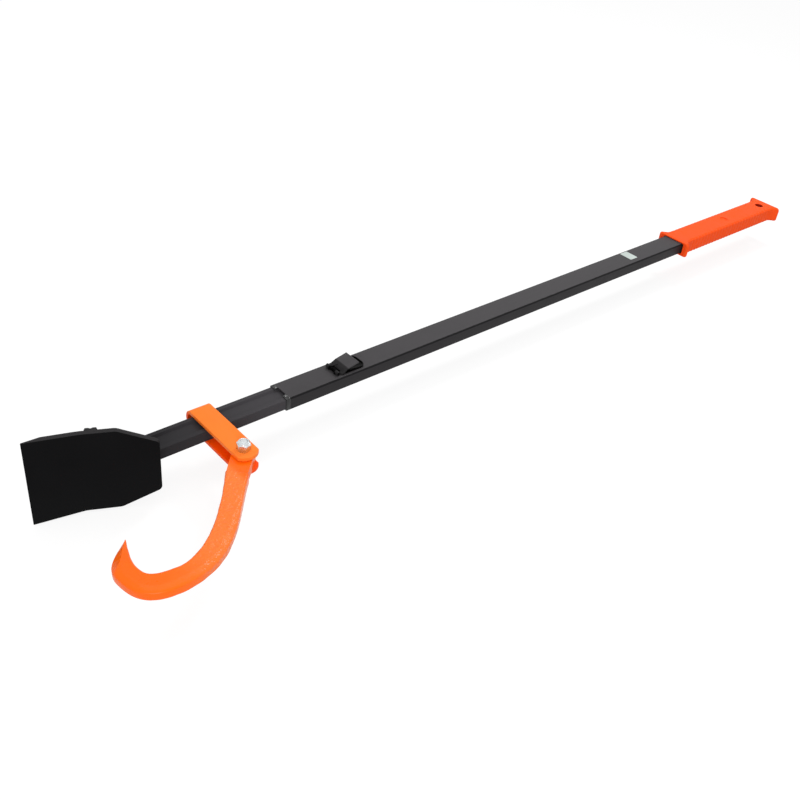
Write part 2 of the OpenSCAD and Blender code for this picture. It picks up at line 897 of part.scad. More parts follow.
// A hexagon with chamfered corners on its upper side
module hex(height, af) {
    corner = af / 2 / cos(30);
    intersection() {
        rotate(hex_turn)
            cylinder(h = height, r = corner, $fn = 6);
        rotate_extrude()
            polygon([[0, 0], [corner + 0.1, 0], [corner + 0.1, height - 1.1], [af / 2 - 0.4, height], [0, height]]);
    }
}

module pivot_bolt() {
    color([0.75, 0.76, 0.77])
        translate([strap_x, -pivot_reach, 0])
            union() {
                translate([0, 0, -leg_out])
                    mirror([0, 0, 1])
                        hex(head_h, hex_af);
                translate([0, 0, -leg_out])
                    rotate_extrude()
                        polygon([
                            [0, 0],
                            [bolt_d / 2, 0],
                            [bolt_d / 2, 2 * leg_out + nut_h - 0.6],
                            [bolt_d / 2 - 1, 2 * leg_out + nut_h + 0.4],
                            [0, 2 * leg_out + nut_h + 0.4]
                        ]);
            }
}

// Lock nut: a hexagon with a round collar
module pivot_nut() {
    collar = hex_af / 2 - 0.5;
    color([0.78, 0.79, 0.8])
        translate([strap_x, -pivot_reach, leg_out])
            difference() {
                union() {
                    hex(nut_h - 1.8, hex_af);
                    rotate_extrude()
                        polygon([[0, 0], [collar, 0], [collar, nut_h - 0.9], [collar - 0.9, nut_h], [0, nut_h]]);
                }
                translate([0, 0, -1])
                    cylinder(h = nut_h + 2, d = bolt_d + 2 * fit);
            }
}

// The hook's inner and outer edges about the bolt, drawn for a reach of 177.5: shank, bend and point
hook_scale = hook_reach / 177.5;
inner_edge = hook_scale * [
    [[-29.5, -13.2], [-47, -36.5], [-95, -100.5], [-131, -96.5]],
    [[-131, -96.5], [-147.5, -94.6], [-155, -93.5], [-157.2, -81]],
    [[-157.2, -81], [-159.5, -66.5], [-151.5, -50], [-149.2, -42]]
];
outer_edge = hook_scale * [
    [[-13.3, -30.2], [-55, -74], [-78, -116.5], [-132, -117.7]],
    [[-132, -117.7], [-170.5, -118.5], [-175.7, -97], [-177.5, -77]],
    [[-177.5, -77], [-179.1, -59.5], [-158.5, -46], [-150.7, -40.8]]
];
hook_steps = [16, 10, 10];

// A section of the hook: the point is thinner, and its edges are ground off
function hook_ring(s, t) =
    let (
        a = curve(inner_edge[s], t),
        b = curve(outer_edge[s], t),
        w = norm(b - a) / 2,
        p = (s == 2) ? t * t : 0,
        h = shank_t / 2 * (1 - p) + point_t / 2 * p
    )
    ring((a + b) / 2, (b - a) / norm(b - a), w, h, min(forge_r, w * 0.8, h * 0.8), min(back_r, w * 0.8, h * 0.8));

// Forged hook: a loft between its two edges, and a flat eye that is thinner than the shank
module hook() {
    color([0.9, 0.42, 0.12])
        translate([strap_x, -pivot_reach, 0])
            difference() {
                union() {
                    loft(concat(
                        [
                            for (s = [0:2], i = [0:hook_steps[s] - 1])
                                hook_ring(s, i / hook_steps[s])
                        ],
                        [hook_ring(2, 1)]
                    ));
                    translate([0, 0, -eye_t / 2])
                        linear_extrude(eye_t)
                            union() {
                                circle(eye_r);
                                rotate(225)
                                    polygon([
                                        [0, 0.6 - eye_r],
                                        [8, 0.6 - eye_r],
                                        [31, -11.2],
                                        [35, -8],
                                        [35, 8],
                                        [31, 11.2],
                                        [8, eye_r - 0.6],
                                        [0, eye_r - 0.6]
                                    ]);
                            }
                }
                translate([0, 0, -eye_t])
                    cylinder(h = 2 * eye_t, d = bolt_d + 2 * pivot_fit);
            }
}

outer_tube();
guide_collar();
stop_rivet();
grip();
latch_bracket();
bracket_rivet_front();
bracket_rivet_rear();
latch_hinge_pin();
latch_lever();
lock_pin();
latch_spring();
inner_bar();
bar_glide();
glide_pin();
blade();
heel_bar();
blade_weld();
clevis_strap();
pivot_bolt();
pivot_nut();
hook();
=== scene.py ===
import math

import bmesh
import bpy
from mathutils import Matrix, Vector, noise


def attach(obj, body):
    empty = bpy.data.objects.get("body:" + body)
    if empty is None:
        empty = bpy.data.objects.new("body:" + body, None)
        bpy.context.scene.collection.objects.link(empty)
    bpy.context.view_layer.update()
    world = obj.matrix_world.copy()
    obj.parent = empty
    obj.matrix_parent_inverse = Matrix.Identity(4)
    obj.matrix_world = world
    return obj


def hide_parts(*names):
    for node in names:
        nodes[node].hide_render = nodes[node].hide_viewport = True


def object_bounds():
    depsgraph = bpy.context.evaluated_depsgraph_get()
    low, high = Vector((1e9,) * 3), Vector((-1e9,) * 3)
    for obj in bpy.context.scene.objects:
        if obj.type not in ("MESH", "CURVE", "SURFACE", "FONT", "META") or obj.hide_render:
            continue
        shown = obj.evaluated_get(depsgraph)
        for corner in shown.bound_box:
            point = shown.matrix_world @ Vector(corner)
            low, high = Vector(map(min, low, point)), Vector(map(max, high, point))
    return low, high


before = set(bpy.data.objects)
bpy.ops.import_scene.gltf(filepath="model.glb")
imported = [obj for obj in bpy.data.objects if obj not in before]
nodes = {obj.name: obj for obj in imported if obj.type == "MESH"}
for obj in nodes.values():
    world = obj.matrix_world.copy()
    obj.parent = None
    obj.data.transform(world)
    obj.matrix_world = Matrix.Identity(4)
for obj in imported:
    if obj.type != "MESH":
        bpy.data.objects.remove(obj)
cad_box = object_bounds()
MM = 0.001

# Camera and studio. The camera stands where the photograph was taken from, beyond the blade and to its left, looking
# down along the tool. Soft light falls from above and from both ends, the floor is pale and the backdrop white.

scene = bpy.context.scene
scene.view_settings.view_transform = "Standard"

azimuth, elevation, roll = (math.radians(a) for a in (-44.673, 35.808, 6.862))
camera_place = Vector((-1.446025, -0.689031, 0.622760))
back = Vector((
    math.sin(azimuth) * math.cos(elevation),
    -math.cos(azimuth) * math.cos(elevation),
    math.sin(elevation),
))
right = Vector((math.cos(azimuth), math.sin(azimuth), 0))
up = back.cross(right)
rolled_right = right * math.cos(roll) + up * math.sin(roll)
rolled_up = up * math.cos(roll) - right * math.sin(roll)

lens = bpy.data.cameras.new("camera")
lens.sensor_width = 36
lens.lens = 43.534
lens.clip_start = 0.05
lens.clip_end = 50
camera = bpy.data.objects.new("camera", lens)
scene.collection.objects.link(camera)
columns = (rolled_right, rolled_up, back, camera_place)
camera.matrix_world = Matrix([[column[row] for column in columns] for row in range(3)] + [[0, 0, 0, 1]])
scene.camera = camera


def shade(hex_colour):
    """An sRGB hex colour as linear red, green, blue and alpha."""
    parts = [int(hex_colour[i:i + 2], 16) / 255 for i in (1, 3, 5)]
    return [p / 12.92 if p <= 0.04045 else ((p + 0.055) / 1.055) ** 2.4 for p in parts] + [1.0]


def add(tree, kind, settings=None, links=None):
    """Adds a node. Settings go to its properties or its inputs, and links join its inputs to other nodes' outputs."""
    node = tree.nodes.new(kind)
    for name, value in (settings or {}).items():
        if isinstance(name, str) and hasattr(node, name):
            setattr(node, name, value)
        else:
            node.inputs[name].default_value = value
    for name, source in (links or {}).items():
        tree.links.new(source, node.inputs[name])
    return node


def new_material(name):
    material = bpy.data.materials.new(name)
    material.use_nodes = True
    material.node_tree.nodes.clear()
    return material, material.node_tree


def placed(name, mesh):
    """A new object of the scene, with its place in its mesh."""
    piece = bpy.data.objects.new(name, mesh)
    scene.collection.objects.link(piece)
    return piece


def any_ray(t, *kinds):
    """1 for a ray of one of these kinds, and 0 for any other."""
    path = add(t, "ShaderNodeLightPath")
    seen = path.outputs[kinds[0]]
    for kind in kinds[1:]:
        seen = add(t, "ShaderNodeMath", {"operation": "MAXIMUM"}, {0: seen, 1: path.outputs[kind]}).outputs[0]
    return seen


# The backdrop is plain white to the eye and in reflections, and lights the tool at a lower level
backdrop_light, backdrop_seen = 0.6, 1.0
world = bpy.data.worlds.new("studio")
world.use_nodes = True
world.node_tree.nodes.clear()
scene.world = world
t = world.node_tree
lit = add(t, "ShaderNodeBackground", {"Color": shade("#ffffff"), "Strength": backdrop_light})
white = add(t, "ShaderNodeBackground", {"Color": shade("#ffffff"), "Strength": backdrop_seen})
either = add(t, "ShaderNodeMixShader", {}, {
    0: any_ray(t, "Is Camera Ray", "Is Transmission Ray", "Is Glossy Ray"),
    1: lit.outputs[0],
    2: white.outputs[0],
})
add(t, "ShaderNodeOutputWorld", {}, {"Surface": either.outputs[0]})

# White paper: to the eye it glows up to white, and still shows the tool's soft shadow
floor_half, floor_z = 6, cad_box[0][2] - 0.5 * MM
paper_glow = 0.84
floor_mesh = bpy.data.meshes.new("floor")
floor_mesh.from_pydata(
    [(x * floor_half, y * floor_half, floor_z) for x, y in ((-1, -1), (1, -1), (1, 1), (-1, 1))],
    [], [(0, 1, 2, 3)])
floor = placed("floor", floor_mesh)
material, t = new_material("white paper floor")
paper = add(t, "ShaderNodeBsdfDiffuse", {"Color": shade("#c4c4c4")})
seen_paper = add(t, "ShaderNodeBsdfDiffuse", {"Color": shade("#7c7c7c")})
glow = add(t, "ShaderNodeEmission", {"Color": shade("#ffffff"), "Strength": paper_glow})
glowing = add(t, "ShaderNodeAddShader", {}, {0: seen_paper.outputs[0], 1: glow.outputs[0]})
either = add(t, "ShaderNodeMixShader", {}, {
    0: any_ray(t, "Is Camera Ray", "Is Glossy Ray"),
    1: paper.outputs[0],
    2: glowing.outputs[0],
})
add(t, "ShaderNodeOutputMaterial", {}, {"Surface": either.outputs[0]})
floor_mesh.materials.append(material)

for name, place, aim, size, power in (
    ("grip end light", (0.22, 0.38, 1.39), (-1.1, 0, 0), 0.4, 9),
    ("top light", (-0.75, 0.2, 2.4), (-0.75, 0, 0), 2.2, 14),
    ("blade end light", (-2.2, -1.8, 0.9), (-0.9, 0, 0), 1.4, 24),
):
    lamp = bpy.data.lights.new(name, "AREA")
    lamp.shape = "DISK"
    lamp.size = size
    lamp.energy = power
    light = bpy.data.objects.new(name, lamp)
    light.location = place
    light.rotation_euler = (Vector(aim) - Vector(place)).to_track_quat("-Z", "Y").to_euler()
    scene.collection.objects.link(light)

# Handle tube: a drawn rectangular steel tube with the latch's slot and the rivet holes punched in it. Its satin
# charcoal powder coat blurs what it mirrors and has a fine orange peel; painted shade darkens the narrow faces and
# their corners.


def coated(name, colour, rough, grain_mm, relief_mm, mottle, gloss, other=None, where=None, relief_where=None):
    """Powder coat or moulded skin: a fine peel, and a tone and a roughness that vary a little in broad patches.

    Another colour shows where one mask says so, and another mask keeps the peel's full relief to one part.
    """
    patch_mm = 28
    middle_of_noise = {"From Min": 0.3, "From Max": 0.7}
    material, t = new_material(name)
    place = add(t, "ShaderNodeTexCoord").outputs["Object"]
    peel = add(t, "ShaderNodeTexNoise", {"Scale": 1 / (grain_mm * MM), "Detail": 2.0, "Roughness": 0.5},
               {"Vector": place}).outputs["Fac"]
    patches = add(t, "ShaderNodeTexNoise", {"Scale": 1 / (patch_mm * MM), "Detail": 3.0},
                  {"Vector": place}).outputs["Fac"]
    level = add(t, "ShaderNodeMapRange", {**middle_of_noise, "To Min": 1 - mottle, "To Max": 1 + mottle},
                {"Value": patches})
    tone = add(t, "ShaderNodeVectorMath", {"operation": "SCALE", 0: shade(colour)[:3]},
               {"Scale": level.outputs[0]}).outputs[0]
    if other:
        # A colour mix takes its first colour at input 6 and its second at input 7
        tone = add(t, "ShaderNodeMix", {"data_type": "RGBA", 7: shade(other)},
                   {0: where(t, place), 6: tone}).outputs["Result"]
    sheen = add(t, "ShaderNodeMapRange", {**middle_of_noise, "To Min": rough - 0.04, "To Max": rough + 0.05},
                {"Value": patches})
    relief = add(t, "ShaderNodeBump", {"Strength": 0.6, "Distance": relief_mm * MM}, {"Height": peel})
    if relief_where:
        strength = add(t, "ShaderNodeMapRange", {"To Min": 0.1, "To Max": 1.0}, {"Value": relief_where(t, place)})
        t.links.new(strength.outputs[0], relief.inputs["Strength"])
    skin = add(t, "ShaderNodeBsdfPrincipled", {"IOR": 1.5, "Specular IOR Level": gloss}, {
        "Base Color": tone,
        "Roughness": sheen.outputs[0],
        "Normal": relief.outputs[0],
    })
    add(t, "ShaderNodeOutputMaterial", {}, {"Surface": skin.outputs[0]})
    return material


def ramp(t, source, start, end):
    """0 before start and 1 after end, with a soft change between them."""
    return add(t, "ShaderNodeMapRange", {"interpolation_type": "SMOOTHSTEP", "From Min": start, "From Max": end},
               {"Value": source}).outputs[0]


def along(t, vector, axis, start, end, both_sides=False):
    """A ramp along one axis, or along that axis both ways from the middle."""
    source = add(t, "ShaderNodeSeparateXYZ", {}, {0: vector}).outputs[axis]
    if both_sides:
        source = add(t, "ShaderNodeMath", {"operation": "ABSOLUTE"}, {0: source}).outputs[0]
    return ramp(t, source, start, end)


def wear(piece, material):
    piece.data.materials.clear()
    piece.data.materials.append(material)


def baked(piece):
    """Turns a piece's modifiers into plain mesh."""
    finished_piece = piece.evaluated_get(bpy.context.evaluated_depsgraph_get())
    mesh = bpy.data.meshes.new_from_object(finished_piece)
    piece.modifiers.clear()
    piece.data = mesh


def smoothed(piece, sharp):
    for face in piece.data.polygons:
        face.use_smooth = True
    piece.data.set_sharp_from_angle(angle=math.radians(sharp))


def dressed(node, name, edge_mm, material, body, sharp=35, segments=2):
    """A copy of a CAD node with its doubles merged and its sharp edges rounded, to stand for that node."""
    same_place, same_plane = 0.002 * MM, math.radians(0.5)
    bm = bmesh.new()
    bm.from_mesh(nodes[node].data)
    bmesh.ops.remove_doubles(bm, verts=bm.verts, dist=same_place)
    bmesh.ops.dissolve_limit(bm, angle_limit=same_plane, verts=bm.verts, edges=bm.edges)
    bm.verts.index_update()
    mesh = bpy.data.meshes.new(name)
    mesh.from_pydata([v.co[:] for v in bm.verts], [], [[v.index for v in f.verts] for f in bm.faces])
    bm.free()
    piece = placed(name, mesh)
    if edge_mm:
        bevel = piece.modifiers.new("edges", "BEVEL")
        bevel.width = edge_mm * MM
        bevel.segments = segments
        bevel.limit_method = "ANGLE"
        bevel.angle_limit = math.radians(sharp)
        bevel.miter_outer = "MITER_ARC"
        baked(piece)
    smoothed(piece, sharp)
    wear(piece, material)
    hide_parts(node)
    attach(piece, body)
    return piece


def painted_shade_on_sides(t, place):
    """Painted shade: all over the narrow faces, and most of all over the corners beside the wide ones."""
    wide = along(t, place, "Y", 14.1 * MM, 14.6 * MM, both_sides=True)
    high = along(t, place, "Z", 6.0 * MM, 6.6 * MM, both_sides=True)
    on_sides, more_at_corners = 0.65, 0.35
    share = add(t, "ShaderNodeMath", {"operation": "MULTIPLY_ADD", 1: more_at_corners, 2: on_sides}, {0: high})
    return add(t, "ShaderNodeMath", {"operation": "MULTIPLY"}, {0: wide, 1: share.outputs[0]}).outputs[0]


# The darker colour on the tube's narrow faces is painted shade
charcoal_coat = coated(
    "satin charcoal powder coat", "#403e40", rough=0.45, grain_mm=0.9, relief_mm=0.02, mottle=0.05, gloss=0.1,
    other="#121113", where=painted_shade_on_sides)
dressed("outer_tube", "handle_tube", 0, charcoal_coat, "handle", sharp=25)
wear(nodes["stop_rivet"], charcoal_coat)

# Label: a small plain film label on top of the tube, in front of the grip. It is left blank, and its matt film is
# one pale patch on the dark coat.


def rounded(half_x, half_y, radius, steps=6):
    """A rectangle with rounded corners round the middle, as points that run corner by corner."""
    points = []
    for side_x, side_y, start in ((1, 1, 0), (-1, 1, 90), (-1, -1, 180), (1, -1, 270)):
        for i in range(steps + 1):
            a = math.radians(start + 90 * i / steps)
            points.append((
                side_x * (half_x - radius) + radius * math.cos(a),
                side_y * (half_y - radius) + radius * math.sin(a),
            ))
    return points


def lofted(rings):
    """A closed shell through rings of points in millimetres, with a flat face over either end."""
    bm = bmesh.new()
    loops = [[bm.verts.new([c * MM for c in point]) for point in ring] for ring in rings]
    for near, far in zip(loops, loops[1:]):
        for i in range(len(near)):
            k = (i + 1) % len(near)
            bm.faces.new((near[i], near[k], far[k], far[i]))
    bm.faces.new(list(reversed(loops[0])))
    bm.faces.new(loops[-1])
    bmesh.ops.recalc_face_normals(bm, faces=bm.faces)
    return bm


def from_shell(bm, name):
    mesh = bpy.data.meshes.new(name)
    bm.to_mesh(mesh)
    bm.free()
    return placed(name, mesh)


label_x, label_y = -337.5, 3.2
label_l, label_w, label_r = 15, 20.5, 1.5
tube_top, film_top = 8.0, 8.12
label = from_shell(lofted([
    [(label_x + x, label_y + y, z) for x, y in rounded(label_l / 2, label_w / 2, label_r)]
    for z in (tube_top, film_top)
]), "label")
label_film = coated(
    "pale label film", "#b9c4bf", rough=0.4, grain_mm=2.5, relief_mm=0.01, mottle=0.08, gloss=0.5)
wear(label, label_film)
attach(label, "handle")

# Sliding bar: rolled steel with a groove along both wide faces, powder coated like the tube. Its colour is
# painted paler towards the guide, as painted light.


# Painted light: the bar's colour grows paler from the blade towards the guide
def painted_light_towards_guide(t, place):
    return along(t, place, "X", -1130 * MM, -950 * MM)


bar_coat = coated(
    "charcoal powder coat with painted light", "#222123", rough=0.42, grain_mm=0.8, relief_mm=0.02, mottle=0.08, gloss=0.08,
    other="#3e3c3f", where=painted_light_towards_guide)
dressed("inner_bar", "sliding_bar", 0, bar_coat, "shaft", sharp=25)


def bare_metal(name, colour, grain_mm, detail, smoothest, roughest, dent_mm=0.0):
    """Metal without paint: a cloudy grain varies how sharply it mirrors, and may dent it a little."""
    material, t = new_material(name)
    place = add(t, "ShaderNodeTexCoord").outputs["Object"]
    grain = add(t, "ShaderNodeTexNoise", {"Scale": 1 / (grain_mm * MM), "Detail": detail},
                {"Vector": place}).outputs["Fac"]
    rough = add(t, "ShaderNodeMapRange", {"To Min": smoothest, "To Max": roughest}, {"Value": grain})
    skin = add(t, "ShaderNodeBsdfPrincipled", {"Base Color": shade(colour), "Metallic": 1.0},
               {"Roughness": rough.outputs[0]})
    if dent_mm:
        dents = add(t, "ShaderNodeBump", {"Strength": 0.5, "Distance": dent_mm * MM}, {"Height": grain})
        t.links.new(dents.outputs[0], skin.inputs["Normal"])
    add(t, "ShaderNodeOutputMaterial", {}, {"Surface": skin.outputs[0]})
    return material


# Turned steel: a grey metal whose fine marks blur its highlights
plain_steel = bare_metal("bare turned steel", "#8f8f92", grain_mm=0.6, detail=4.0, smoothest=0.28, roughest=0.45)
wear(nodes["glide_pin"], plain_steel)

# Guide and glide: moulded black nylon, deep black with a fairly sharp sheen. The guide is pressed into the tube's
# mouth and held by a nub, and the glide is pinned into the bar's hidden end.

black_plastic = coated(
    "black moulded nylon", "#070708", rough=0.25, grain_mm=0.5, relief_mm=0.01, mottle=0.05, gloss=0.5)
guide = dressed("guide_collar", "guide", 0.25, black_plastic, "handle", sharp=40)
# What stands in front of the tube is drawn back to about half its length
tube_mouth, guide_share = -944 * MM, 0.55
for vert in guide.data.vertices:
    vert.co.x = max(vert.co.x, tube_mouth + (vert.co.x - tube_mouth) * guide_share)
wear(nodes["bar_glide"], black_plastic)

# Blade: steel plate, bent, ground on its far face and welded to the bar, with a ribbed heel behind it. All of it
# has the same dull coat, nearly black, with faces that turn up painted grey as painted light. The weld runs along
# both sides of the bar.


# Painted light: faces that turn up are coloured grey
def painted_light_on_upper_faces(t, place):
    return along(t, add(t, "ShaderNodeTexCoord").outputs["Normal"], "Z", 0.3, 0.8)


black_coat = coated(
    "dull black powder coat", "#0c0c0d", rough=0.6, grain_mm=0.9, relief_mm=0.03, mottle=0.15, gloss=0.04,
    other="#2f2e2f", where=painted_light_on_upper_faces)
dressed("blade", "blade_plate", 0.7, black_coat, "shaft")
dressed("heel_bar", "heel_ribs", 0.4, black_coat, "shaft")
dressed("blade_weld", "weld_fillets", 0.5, black_coat, "shaft")

# Latch: a pressed lever on a sheet bracket, blackened steel with a soft grey sheen, painted darker over its front
# ramp by the hinge, as shade.
# A torsion spring in the slot between its knuckles holds it down, and the lock pin under it is bare steel.


# Painted shade: the lever's front ramp, by the hinge, is coloured darker
def painted_shade_on_front_ramp(t, place):
    return along(t, place, "X", -861.5 * MM, -863.5 * MM)


black_steel = coated(
    "blackened pressed steel", "#434143", rough=0.36, grain_mm=0.7, relief_mm=0.02, mottle=0.05, gloss=0.12,
    other="#1b1a1b", where=painted_shade_on_front_ramp)
lever = dressed("latch_lever", "latch_plate", 0.35, black_steel, "latch")
# The lever is a little narrower behind its knuckles, and the black bracket below it wider, so that it fills the shade
# under the lever as painted shadow
lever_neck, lever_width, lever_shift = -868 * MM, 0.91, 0.3 * MM
for vert in lever.data.vertices:
    if vert.co.x > lever_neck:
        vert.co.y = vert.co.y * lever_width + lever_shift

# Black steel, drawn nearly pure black as painted shade under the lever: it shows as a black shape, with hardly a
# highlight
steel_black_as_shade = coated(
    "black steel painted as shade", "#020202", rough=0.3, grain_mm=0.7, relief_mm=0.01, mottle=0.05, gloss=0.05)
base = dressed("latch_bracket", "latch_base", 0.15, steel_black_as_shade, "handle")
# The black bracket is widened to stand for the shade under the lever
base_ears, wider_into_shade = -866 * MM, 1.22
for vert in base.data.vertices:
    if vert.co.x > base_ears:
        vert.co.y *= wider_into_shade
dressed("latch_spring", "spring_wire", 0, steel_black_as_shade, "latch", sharp=70)
for node in ("bracket_rivet_front", "bracket_rivet_rear", "latch_hinge_pin"):
    wear(nodes[node], steel_black_as_shade)
wear(nodes["lock_pin"], plain_steel)

# Strap: flat steel bar bent round the sliding bar, drilled through both ends for the bolt and powder coated. The
# smooth orange coat is paler on the leg above the bar, and painted a deep red-orange from there down, as shade.


# Painted shade: deep red-orange from the top leg downwards
def painted_shade_below_top(t, place):
    return along(t, place, "Z", 8 * MM, 6 * MM)


strap_coat = coated(
    "orange powder coat", "#ff7f2c", rough=0.4, grain_mm=0.9, relief_mm=0.02, mottle=0.03, gloss=0.1,
    other="#ff5200", where=painted_shade_below_top)
strap = dressed("clevis_strap", "strap", 0.7, strap_coat, "strap", segments=3)
# The bend behind the bar is drawn in a little
bend_start, bend_share = 14 * MM, 0.88
for vert in strap.data.vertices:
    if vert.co.y > bend_start:
        vert.co.y = bend_start + (vert.co.y - bend_start) * bend_share

# Bolt and lock nut: forged steel with bright zinc plate, a pale mirror that is clouded and slightly dented. The
# hook turns on the bolt's shank.

zinc = bare_metal(
    "bright zinc plate", "#d3d8da", grain_mm=3, detail=5.0, smoothest=0.16, roughest=0.34, dent_mm=0.15)
dressed("pivot_bolt", "bolt", 0.25, zinc, "strap")
dressed("pivot_nut", "nut", 0.35, zinc, "strap")

# Hook: a drop forging with rounded edges, a flat eye and a point that is ground off outside. It is shot blasted and
# coated orange, so that the surface keeps the forging's soft hollows. The shank is a touch thicker than its eye.

pivot = Vector((-1034, -62.5))
# Both edges as three curves of four points each, from the eye round to the point
inner_edge = (
    ((-29.5, -13.2), (-47, -36.5), (-95, -100.5), (-131, -96.5)),
    ((-131, -96.5), (-147.5, -94.6), (-155, -93.5), (-157.2, -81)),
    ((-157.2, -81), (-159.5, -66.5), (-151.5, -50), (-149.2, -42)),
)
outer_edge = (
    ((-13.3, -30.2), (-55, -74), (-78, -116.5), (-132, -117.7)),
    ((-132, -117.7), (-170.5, -118.5), (-175.7, -97), (-177.5, -77)),
    ((-177.5, -77), (-179.1, -59.5), (-158.5, -46), (-150.7, -40.8)),
)
curve_steps = (90, 50, 44)
points_across = 14
# Half the thickness, and the edges' radii
shank_high, point_high = 7.25, 4.5
inner_round, outer_round = 3.0, 2.8
# The top falls towards the outer edge, by a share of its height
crown_width, crown_drop = 8, 0.28
# The point is ground from the start of the third curve on
ground_width, ground_low = 8.0, 0.15
ground_from, ground_by, ground_most = 2.0, 2.35, 0.92


def on_curve(points, t):
    a, b, c, d = (Vector(p) for p in points)
    u = 1 - t
    return u ** 3 * a + 3 * u * u * t * b + 3 * u * t * t * c + t ** 3 * d


def smooth_step(x, start, end):
    x = max(0.0, min(1.0, (x - start) / (end - start)))
    return x * x * (3 - 2 * x)


def quarter(across, height, radius, cut, steps=6):
    """One corner of the section from its side to its top, round or, where cut is above 0, ground to a bevel."""
    points = []
    for i in range(steps + 1):
        a = math.radians(90 * i / steps)
        round_p = Vector((across - radius + radius * math.cos(a), height - radius + radius * math.sin(a)))
        flat_p = Vector((across, height * ground_low)).lerp(Vector((across - ground_width, height)), i / steps)
        points.append(round_p.lerp(flat_p, cut))
    return points


def hook_section(part, t, shrink=0.0):
    """One ring of the hook, on one of its three curves, from its outer side over the top and back below."""
    a = on_curve(inner_edge[part], t)
    b = on_curve(outer_edge[part], t)
    half = (b - a).length / 2 - shrink
    to_point = t * t if part == 2 else 0.0
    height = shank_high * (1 - to_point) + point_high * to_point - shrink
    cut = smooth_step(part + t, ground_from, ground_by) * ground_most
    roundest = 0.8 * min(half, height)
    outer = quarter(half, height, min(outer_round, roundest), cut)
    inner = quarter(half, height, min(inner_round, roundest), 0.0)
    # Near the point the bevel takes up to 1.1 of the narrow half, and no more
    fits = min(ground_width, 1.1 * half) / ground_width
    squeeze = fits if cut > 0.5 else 1 + (fits - 1) * cut * 2
    outer = [Vector((half - (half - p.x) * squeeze, p.y)) for p in outer]
    inner = [Vector((-p.x, p.y)) for p in reversed(inner)]
    top = [outer[-1].lerp(inner[0], i / points_across) for i in range(1, points_across)]
    crown = crown_drop * smooth_step(part + t, 0.1, 0.5) * (1 - cut)
    side = [Vector((p.x, p.y * (1 - crown * smooth_step(p.x, half - crown_width, half))))
            for p in outer + top + inner]
    ring = side + [Vector((p.x, -p.y)) for p in reversed(side)]
    middle = pivot + (a + b) / 2
    way = (b - a).normalized()
    return [(middle.x + way.x * p.x, middle.y + way.y * p.x, p.y) for p in ring]


rings = [hook_section(0, 0.0, shrink=0.7), hook_section(0, 0.0, shrink=0.2)]
for part, steps in enumerate(curve_steps):
    rings += [hook_section(part, i / steps) for i in range(0 if part else 1, steps)]
rings.append(hook_section(2, 1.0))


def forged(p):
    """The forging's hollows: points move in by up to half a millimetre, but not at the eye or the point."""
    broad_mm, broad_deep = 9.0, 0.34
    small_mm, small_deep = 2.6, 0.2
    clear_of_eye = smooth_step((p.xy - pivot).length, 34, 50)
    clear_of_point = smooth_step(p.x, -1212, -1196)
    on_the_shank = smooth_step(p.x, -1150, -1100)
    broad = broad_deep * (noise.noise(p / broad_mm) - 0.7)
    small = small_deep * noise.noise(p / small_mm + Vector((7, 3, 1)))
    return clear_of_eye * clear_of_point * (broad + on_the_shank * small)


bm = lofted(rings)
bm.normal_update()
for vert in bm.verts:
    vert.co += vert.normal * forged(vert.co / MM) * MM
    vert.co.y = max(vert.co.y, cad_box[0][1])

# The eye is a flat lug, 12.4 mm thick and a little narrower than the shank where that begins
lug_half, lug_r, lug_bore = 6.2, 12, 4.08
lug_turn = math.radians(225)
neck = [(8, -11.2), (31, -10.4), (35, -8), (35, 8), (31, 10.4), (8, 11.2)]


def arc(radius, start, step, count):
    """Points on a circle round the middle, so many degrees apart."""
    angles = [math.radians(start + step * i) for i in range(count)]
    return [(radius * math.cos(a), radius * math.sin(a)) for a in angles]


outline = [
    (x * math.cos(lug_turn) - y * math.sin(lug_turn), x * math.sin(lug_turn) + y * math.cos(lug_turn))
    for x, y in neck + arc(lug_r, start=108, step=3.6, count=41)]
bore = arc(lug_bore, start=0, step=7.5, count=48)
lug = []
for z in (-lug_half, lug_half):
    loops = [
        [bm.verts.new(((pivot.x + x) * MM, (pivot.y + y) * MM, z * MM)) for x, y in points]
        for points in (outline, bore)]
    edges = [bm.edges.new((loop[i - 1], loop[i])) for loop in loops for i in range(len(loop))]
    bmesh.ops.triangle_fill(bm, edges=edges, use_beauty=True)
    lug.append(loops)
for low, high in zip(*lug):
    for i in range(len(low)):
        bm.faces.new((low[i - 1], low[i], high[i], high[i - 1]))
bmesh.ops.recalc_face_normals(bm, faces=bm.faces)
hook = from_shell(bm, "forged_hook")
smoothed(hook, sharp=32)


# The shank: painted paler as painted sheen, and given the skin's full relief
def shank_sheen_and_relief(t, place):
    return add(t, "ShaderNodeMath", {"operation": "MULTIPLY"}, {
        0: along(t, place, "X", -1185 * MM, -1120 * MM),
        1: along(t, place, "X", -1052 * MM, -1060 * MM),
    }).outputs[0]


# Orange coat over a blasted forging: the shank is painted paler, a painted sheen, and its skin breaks the highlight
# into small flecks. The skin's grain is drawn 4 mm wide, coarser than the real one, so that it shows.
hook_coat = coated(
    "orange coat on a forging", "#ff680a", rough=0.27, grain_mm=4.0, relief_mm=1.5, mottle=0.05, gloss=0.18,
    other="#ff7a30", where=shank_sheen_and_relief, relief_where=shank_sheen_and_relief)
wear(hook, hook_coat)
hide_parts("hook")
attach(hook, "hook")

# Grip: soft orange-red plastic, moulded over the tube's end, with flared ends, a hang hole, a shallow thumb recess
# and fine ribs across its narrow sides. A groove runs round the rim of its mouth.

x_front, x_back = -233.0, 22.0
flare_length, flare_out = 14.0, 8.5
grip_half_w, grip_half_h, grip_corner = 18.5, 11.2, 3.5
